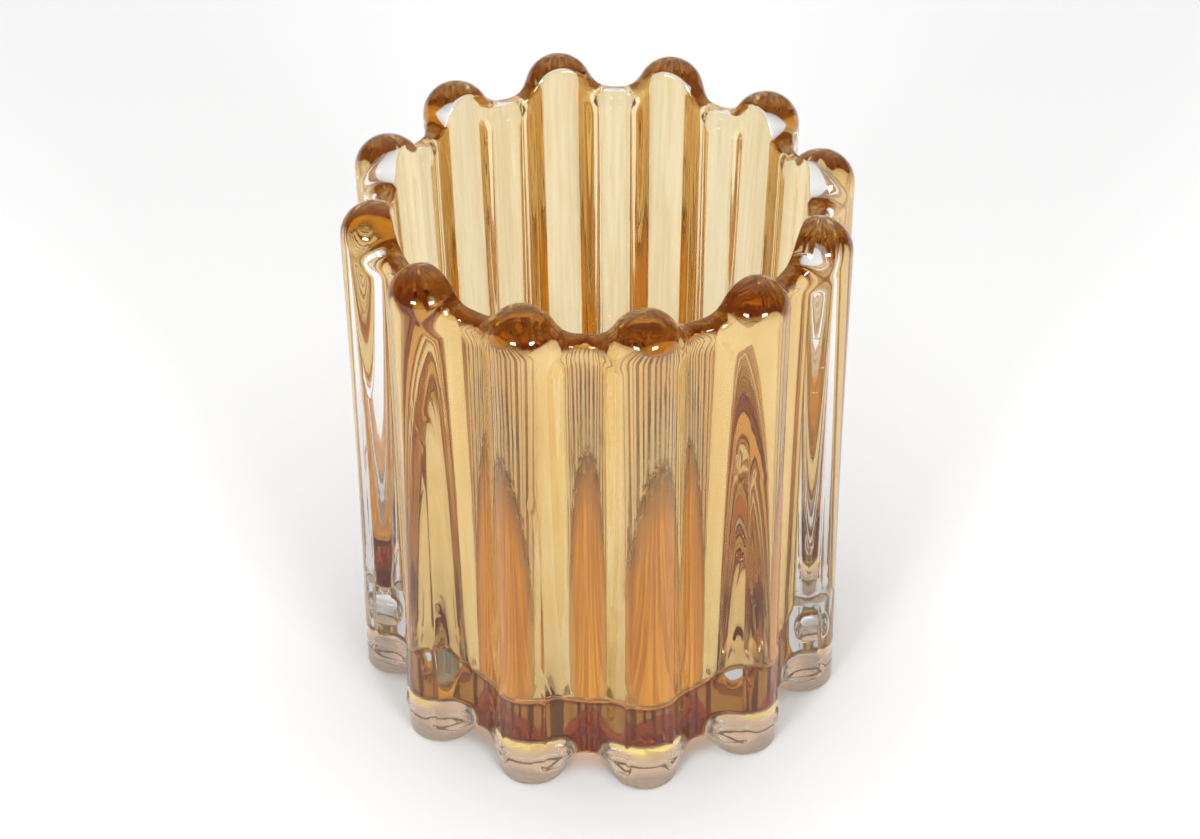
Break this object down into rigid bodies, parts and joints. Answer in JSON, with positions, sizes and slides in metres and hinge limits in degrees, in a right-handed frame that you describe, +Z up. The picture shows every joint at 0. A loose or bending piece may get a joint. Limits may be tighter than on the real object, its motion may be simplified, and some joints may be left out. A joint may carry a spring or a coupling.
{
  "type": "tealight holder",
  "caption": "Ribbed pressed-glass cup that holds a tealight: round ribs end in domed knobs over a scalloped rim and in clear feet, with an amber-lined bore.",
  "frame": {"origin": "centre of the resting plane, on the cup's axis, at the level of the feet's flats", "axes": "+Z up along the cup's axis; +X through the centre of one rib"},
  "size_m": [0.075, 0.075, 0.0855],
  "materials": {
    "clear_glass": "fire-polished, clear",
    "amber_layer": "smooth, transparent amber"
  },
  "bodies": {
    "root": {"glass_body": "clear_glass", "amber_lining": "amber_layer"}
  },
  "joints": []
}
